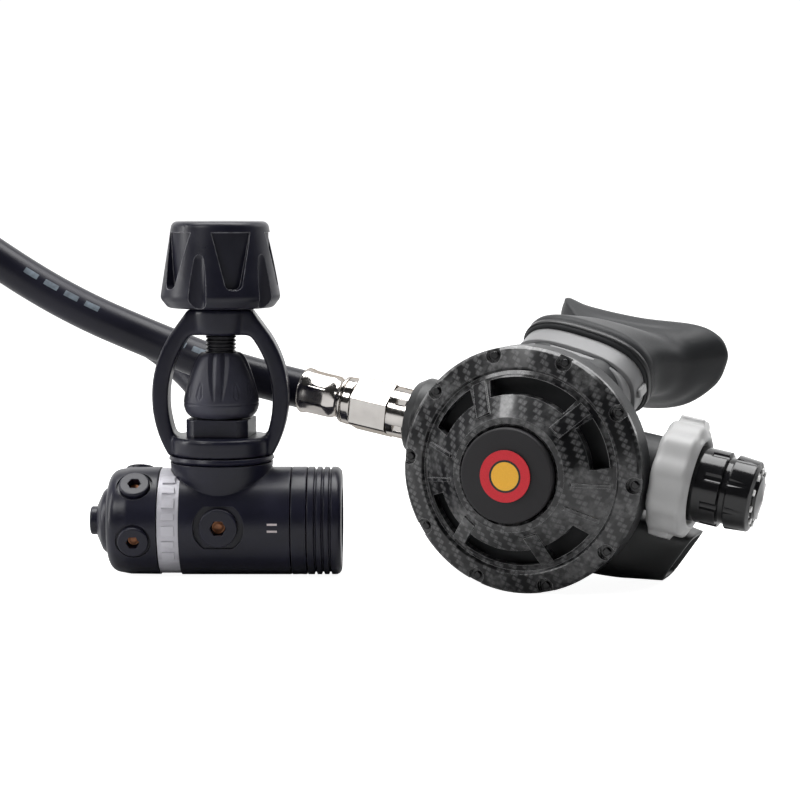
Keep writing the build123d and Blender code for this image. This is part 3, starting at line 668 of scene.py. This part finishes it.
def make_dust_cap():
    """Rubber dust cap: an egg with pairs of V grooves, small arches and a parting line."""
    outer = [(6.6, 76.35), (7.9, 75.3), (9.3, 72.6), (10.6, 69.0), (11.7, 65.4), (12.5, 62.0),
             (12.85, 59.6), (12.7, 57.8), (12.0, 56.0), (10.9, 54.8), (10.2, 54.4)]
    profile = [(5.35, 67.9), (5.35, 76.0), (5.6, 76.4), *smooth_line(outer, 8), (7.6, 54.4),
               (7.3, 54.7), (7.3, 58.2)]
    loops = [circle(r, h, 360, dust_cap_relief) for r, h in profile]
    cap = new_object("dust_cap_rubber", skin(loops, UPRIGHT), "dust_cap",
                     LOOKS["cap_rubber"])
    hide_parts("dust_cap")


def port_mark(name, low, high):
    """Thin printed bar on the barrel, between two angles in degrees above its front."""
    left, right, lift = 16.4, 19.8, 0.03
    across, around = 4, 6
    radius = BARREL_R + lift
    points = []
    for step in range(around + 1):
        angle = radians(low + (high - low) * step / around)
        y, z = -radius * cos(angle), BARREL_R + radius * sin(angle)
        points += [at((left + (right - left) * k / across, y, z)) for k in range(across + 1)]
    row = across + 1
    corners = [step * row + k for step in range(around) for k in range(across)]
    mesh = bpy.data.meshes.new(name)
    mesh.from_pydata(points, [], [(c, c + 1, c + row + 1, c + row) for c in corners])
    new_object(name, mesh, "first_stage", LOOKS["mark_ink"])


def make_socket_glints():
    """Copper-coloured discs at the bottoms of the hexagon sockets in the port plugs: a painted brown
    reflection.
    """
    for name, body, x, angles, radius, size, level in (
        ("plug_socket_glint_low", "turret", LP_X, LP_ANGLES, BARREL_R - 1.6, 1.95, -0.6),
        ("plug_socket_glint_high", "first_stage", 0.0, (0, 180), BARREL_R - 2.2, 2.3, -0.9),
    ):
        profile = [(size, -1.2), (size, -0.1), (size * 0.86, 0.0), (size * 0.72, -0.45),
                   (size * 0.3, -0.6)]
        loops = [circle(r, level + h, 36) for r, h in profile]
        for index, angle in enumerate(angles):
            out = Vector((0, -cos(radians(angle)), sin(radians(angle))))
            place = plane(Vector((x, 0, BARREL_R)) + out * radius, Vector((1, 0, 0)), out)
            new_object(f"{name}_{index}", skin(loops, place), body,
                       LOOKS["socket_painted_glint"])


make_dust_cap()
make_socket_glints()
port_mark("port_mark_upper", 3.0, 5.2)
port_mark("port_mark_lower", -4.2, -2.0)


# ---------------------------------------------------------------- mouthpiece
# Edge of the lip shield in the bite frame (right, down), from its right end round its lower side.
SHIELD = [(30.5, -1), (28, 7), (19, 16), (6, 20.5), (-6, 20.5), (-18, 17.5), (-28, 11), (-33, 3),
          (-34, -4), (-33.5, -9), (-32, -11), (-23, -10), (-3, -10.5), (17, -12.5), (26, -10.5),
          (30, -6)]
SHIELD_MIDDLE = 3.0              # how far down the middle of the shield and the mouth opening lies
SLEEVE_POWER = 2.7               # of the ovals of the mouth tube and what is on it


def closed_curve(points, steps):
    """Smooth closed curve through the points."""
    wrapped = [points[-1], *points, points[0], points[1]]
    return smooth_line(wrapped, steps)[steps:-steps - 1]


def make_mouthpiece():
    """Silicone sleeve, neck and lip shield in one skin."""
    edge = closed_curve(SHIELD, 10)
    angles = [atan2(y - SHIELD_MIDDLE, x) for x, y in edge]

    def ring(matrix, width, height, level, down=0.0):
        """Oval loop whose points lie in the same directions as the shield's edge."""
        loop = []
        for angle in angles:
            wide = abs(cos(angle)) / (width / 2)
            high = abs(sin(angle)) / (height / 2)
            r = (wide ** SLEEVE_POWER + high ** SLEEVE_POWER) ** (-1 / SLEEVE_POWER)
            loop.append(matrix @ Vector((r * cos(angle), r * sin(angle) + down, level)))
        return loop

    def shield(size, level, curl=0.0):
        """The shield's edge, scaled, with its ends curled towards the mouth."""
        half_width = 34
        loop = []
        for x, y in edge:
            down = (y - SHIELD_MIDDLE) * size + SHIELD_MIDDLE
            loop.append(BITE @ Vector((x * size, down, level + curl * (x / half_width) ** 2)))
        return loop

    def between(first, second, share):
        return [a.lerp(b, share) for a, b in zip(first, second)]

    sleeve = [ring(MOUTH, width, height, level) for width, height, level in (
        (43.7, 27.2, 20.4), (45.0, 28.8, 19.9), (46.4, 31.0, 20.3), (47.0, 31.8, 21.2),
        (47.0, 32.0, 22.6), (47.6, 33.0, 23.6), (48.0, 33.6, 24.6), (47.6, 33.2, 25.8),
        (46.4, 31.6, 27.2),
    )]
    neck_end = ring(BITE, 43.0, 24.0, -13.0, 2.0)
    outside = flow([
        sleeve[-1],
        between(ring(MOUTH, 45.2, 29.8, 29.0), neck_end, 0.2),
        between(ring(MOUTH, 44.6, 28.8, 31.0), neck_end, 0.6),
        between(neck_end, shield(0.7, -10.0, 1.0), 0.35),
        between(ring(BITE, 46.0, 26.5, -8.5, 2.5), shield(0.86, -6.6, 1.5), 0.6),
        shield(0.92, -3.6, 2.0),
        shield(0.985, -1.0, 2.4),
    ], 5)
    inside = [
        shield(1.0, 0.0, 2.6), shield(1.0, 0.9, 2.6), shield(0.98, 1.6, 2.4), shield(0.82, 1.5, 1.6),
        between(ring(BITE, 38.0, 17.5, 1.2, SHIELD_MIDDLE), shield(0.8, 1.5, 1.4), 0.25),
        ring(BITE, 35.5, 15.0, 1.0, SHIELD_MIDDLE), ring(BITE, 34.0, 14.0, 0.2, SHIELD_MIDDLE),
        ring(BITE, 34.0, 14.0, -6.0, SHIELD_MIDDLE),
        ring(MOUTH, 38.0, 21.5, 31.0), ring(MOUTH, 38.2, 21.7, 29.1), ring(MOUTH, 43.5, 27.0, 29.05),
    ]
    body = new_object("mouthpiece_silicone", skin([*sleeve[:-1], *outside, *inside], ring=True),
                      "second_stage", LOOKS["silicone"])
    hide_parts("mouthpiece")


def make_bite_lugs():
    """Two lugs behind the lip shield, each a short stem with a wider end."""
    sizes = [(8, 8, 0.4), (11, 11, 0.4), (12, 12, 2.0), (11.4, 11.4, 7.0), (11.6, 11.6, 12.4),
             (12.4, 15.4, 13.4), (12.8, 16.4, 14.6), (12.4, 15.6, 15.8), (9.0, 11.0, 16.2)]
    loops = [oval(width, height, level, 40, 3.2) for width, height, level in sizes]
    for name, side in (("bite_lug_left", -17.0), ("bite_lug_right", 17.0)):
        place = BITE @ Matrix.Translation((side, SHIELD_MIDDLE, 0))
        new_object(name, skin(loops, place), "second_stage", LOOKS["silicone"])


def make_tie():
    """Thin tie in the sleeve's groove, and the light tab of its lock."""
    groove_width, groove_height = 47.0, 31.9
    profile = [(-0.6, 21.3), (0.1, 21.1), (0.45, 21.4), (0.45, 23.0), (0.1, 23.3), (-0.6, 23.1)]
    loops = [oval(groove_width + 2 * lift, groove_height + 2 * lift, level, 96, SLEEVE_POWER)
             for lift, level in profile]
    tie = new_object("tie_strap", skin(loops, MOUTH, ring=True), "second_stage",
                     LOOKS["clamp_tie"])
    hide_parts("mouthpiece_clamp")
    place = MOUTH @ Matrix.Translation((22.9, -1.2, 0)) @ Matrix.Rotation(radians(-8), 4, "Z")
    sizes = [(1.2, 2.6, 15.2), (1.8, 3.4, 15.4), (2.0, 3.6, 15.9), (2.0, 3.6, 19.2), (1.9, 3.5, 19.7)]
    loops = [oval(width, height, level, 32, 5.0) for width, height, level in sizes]
    new_object("tie_tab", skin(loops, place), "second_stage", LOOKS["tie_tab"])


def tube_relief(x, y, z, angle):
    """A point of the mouth tube, moved out past the step and in along the groove and the lens."""
    step, step_rise = 12.6, 0.75
    groove_start, groove_end, groove_depth = 12.0, 12.9, 0.5
    lens_level, lens_angle, lens_half, lens_depth = 7.2, radians(305), radians(38), 0.9
    lift = 0.25
    if z > step:
        lift += step_rise * min(1.0, (z - step) / 0.5)
    if groove_start < z < groove_end:
        lift -= groove_depth
    off = off_angle(angle, lens_angle)
    bow = 1 - (off / lens_half) ** 2
    if bow > 0:
        inside = 3.6 * bow - abs(z - lens_level + 2.0 * off)
        lift -= lens_depth * clamp(inside / 0.9 + 0.3)
    half_width, half_height = 19.0, 13.0     # roughly those of the tube
    return x * (1 + lift / half_width), y * (1 + lift / half_height), z


def make_tube_shell():
    """Outside of the mouth tube: a step near its end and a long pressed-in lens on its upper side."""
    levels = [-4 + 0.25 * k for k in range(97)]
    loops = [oval(43.2, 26.7, level, 240, SLEEVE_POWER, tube_relief) for level in levels]
    loops = [oval(43.0, 26.5, -4.2, 240, SLEEVE_POWER), *loops,
             oval(43.05, 26.55, 20.2, 240, SLEEVE_POWER)]
    # its grey is lighter than the case it belongs to: painted light for the tube's lit top
    new_object("mouth_tube", skin(loops, MOUTH, capped=False), "second_stage",
               LOOKS["tube_grey_painted_light"])


def make_exhaust():
    """Exhaust tee whose right wing sweeps back to an open, slanted end."""
    # Each: distance to the right, top and bottom, front and rear, and how far the top leans right.
    stations = [
        (-42.0, -17.0, -32.5, -31.0, -47.0, 0.0),
        (-28.0, -9.0, -34.6, -24.0, -49.0, 0.0),
        (0.0, -7.5, -34.8, -22.8, -49.0, 0.0),
        (20.0, -8.0, -34.2, -23.0, -49.0, 0.0),
        (32.0, -10.0, -33.6, -24.5, -49.2, 0.12),
        (41.0, -12.5, -32.7, -27.5, -49.6, 0.28),
        (49.4, -14.2, -32.0, -31.5, -50.0, 0.45),
    ]

    def section(x, top, low, front, rear, lean, wall=0.0):
        """Loop round the tee, or round its inside where there is a wall."""
        middle, depth = (top + low) / 2, (front + rear) / 2
        outline = oval(top - low - 2 * wall, front - rear - 2 * wall, 0, 64, 5.0)
        return [(x + lean * y, middle + y, depth + z) for y, z, _ in outline]

    outer = flow([section(*station) for station in stations], 6)
    inner = [section(*stations[back], wall=wall)
             for back, wall in ((-1, 0.6), (-1, 1.6), (-2, 2.0), (-3, 2.4))]
    tee = new_object("exhaust_moulded", skin([*outer, *inner], STAGE2), "second_stage",
                     LOOKS["black_plastic"])
    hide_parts("exhaust_tee")


# Lever tab and fin of the collar: direction, half its angle, lowest and highest level, and rise.
COLLAR_TABS = (
    (radians(-22), radians(17), 43.0, 51.8, 2.4),
    (radians(-196), radians(13), 41.8, 49.0, 1.7),
)


def collar_relief(angle, radius, height):
    """Radius less the ten soft flats, with the tabs added; the bore stays round."""
    bore_limit, flats, flat_depth, first_flat = 16, 10, 0.95, radians(4)
    if radius < bore_limit:
        return radius
    share = 0.5 - 0.5 * cos(flats * (angle - first_flat))
    radius -= flat_depth * share ** 1.2
    for middle, half, low, high, rise in COLLAR_TABS:
        side = clamp((half - abs(off_angle(angle, middle))) / radians(1.5))
        end = clamp(min((height - low) / 0.4, (high - height) / 0.4))
        radius += rise * side * end
    return radius


def make_collar():
    """Venturi collar with ten soft flats, a lever tab on its rim and a low fin below."""
    rim = 18.9
    profile = [(12.7, 41.3), (16.2, 41.1), (17.4, 41.3), (18.2, 41.8), (18.7, 42.6), (18.85, 43.4),
               *[(rim, 44 + 0.4 * k) for k in range(19)],
               (18.8, 51.8), (18.6, 52.2), (18.3, 52.5), (17.6, 52.9), (16.6, 53.4), (15.6, 53.9),
               (15.2, 54.1), (14.9, 54.1), (14.3, 53.9), (13.9, 53.5), (13.6, 52.9), (13.5, 52.0),
               (13.4, 51.2), (12.4, 51.0), (9.3, 51.0), (9.3, 48.6), (12.6, 48.4)]
    loops = [circle(r, h, 360, collar_relief) for r, h in profile]
    collar = new_object("collar_moulded", skin(loops, VALVE, ring=True), "venturi_collar",
                        LOOKS["collar_grey"])
    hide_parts("venturi_collar")


make_mouthpiece()
make_bite_lugs()
make_tie()
make_tube_shell()
make_exhaust()
make_collar()


# ---------------------------------------------------------------- stage
FLOOR_HALF = 12.0                # metres from the middle to an edge
FLOOR_GLOW = 0.95                # what the camera sees the floor give off
FRONT_ROOM = 0.03                # strengths of the surroundings in front of the set,
BACKDROP = 1.4                   # behind it,
SEEN_ROOM = 1.05                 # and where the camera sees them
LIGHT_TARGET = (0.0, 0.0, 0.05)


def make_floor():
    """Pale floor; what it gives off keeps it pale away from the lights."""
    mesh = bpy.data.meshes.new("floor")
    half = FLOOR_HALF
    corners = [(-half, -half, 0), (half, -half, 0), (half, half, 0), (-half, half, 0)]
    mesh.from_pydata(corners, [], [(0, 1, 2, 3)])
    floor = add("floor", mesh)
    look = Look("floor")
    pale = look.spread(look.noise(3.0, 2.0), 0, 1)
    look.link("Base Color", look.blend(pale, (0.55, 0.55, 0.55, 1), (0.60, 0.60, 0.60, 1)))
    look.put(Roughness=0.9, Specular_IOR_Level=0.1, Emission_Color=(1, 1, 1, 1))
    seen = look.node("ShaderNodeLightPath").outputs["Is Camera Ray"]
    look.link("Emission Strength", look.math("MULTIPLY", seen, FLOOR_GLOW))
    mesh.materials.append(look.material)


def make_surroundings():
    """Bright backdrop behind the set and a dim room in front of it, both pale to look at."""
    world = bpy.data.worlds.new("studio")
    bpy.context.scene.world = world
    world.use_nodes = True
    tree = world.node_tree
    white = (1.0, 1.0, 1.0, 1)
    room = tree.nodes["Background"]
    room.inputs["Color"].default_value = white
    seen = tree.nodes.new("ShaderNodeBackground")
    seen.inputs["Color"].default_value = white
    seen.inputs["Strength"].default_value = SEEN_ROOM
    around = tree.nodes.new("ShaderNodeTexCoord")
    split = tree.nodes.new("ShaderNodeSeparateXYZ")
    tree.links.new(around.outputs["Generated"], split.inputs[0])
    ramp = tree.nodes.new("ShaderNodeMapRange")
    tree.links.new(split.outputs["Y"], ramp.inputs["Value"])
    for socket, value in (("From Min", 0.15), ("From Max", 0.85),
                          ("To Min", FRONT_ROOM), ("To Max", BACKDROP)):
        ramp.inputs[socket].default_value = value
    tree.links.new(ramp.outputs[0], room.inputs["Strength"])
    choose = tree.nodes.new("ShaderNodeMixShader")
    path = tree.nodes.new("ShaderNodeLightPath")
    tree.links.new(path.outputs["Is Camera Ray"], choose.inputs[0])
    tree.links.new(room.outputs[0], choose.inputs[1])
    tree.links.new(seen.outputs[0], choose.inputs[2])
    tree.links.new(choose.outputs[0], tree.nodes["World Output"].inputs[0])


def softbox(name, place, width, height, power):
    """Rectangular soft light that faces the set."""
    data = bpy.data.lights.new(name, "AREA")
    data.shape = "RECTANGLE"
    data.size = width
    data.size_y = height
    data.energy = power
    lamp = add(name, data)
    lamp.location = place
    towards = Vector(LIGHT_TARGET) - Vector(place)
    lamp.rotation_euler = towards.to_track_quat("-Z", "Y").to_euler()


def make_stage():
    """Pale floor, pale surroundings and soft studio lights."""
    make_floor()
    make_surroundings()
    softbox("light_left", (-1.1, 0.0, 0.35), width=0.2, height=0.8, power=4.6)
    softbox("light_right", (1.0, 0.5, 0.75), width=0.3, height=0.5, power=2.0)
    softbox("light_top", (0.0, 0.12, 1.2), width=1.4, height=0.7, power=22.0)
    softbox("light_front", (-0.88, -0.86, 0.85), width=0.45, height=0.40, power=4.6)
    settings = bpy.context.scene.view_settings
    settings.view_transform = "Standard"
    settings.look = "None"


make_stage()
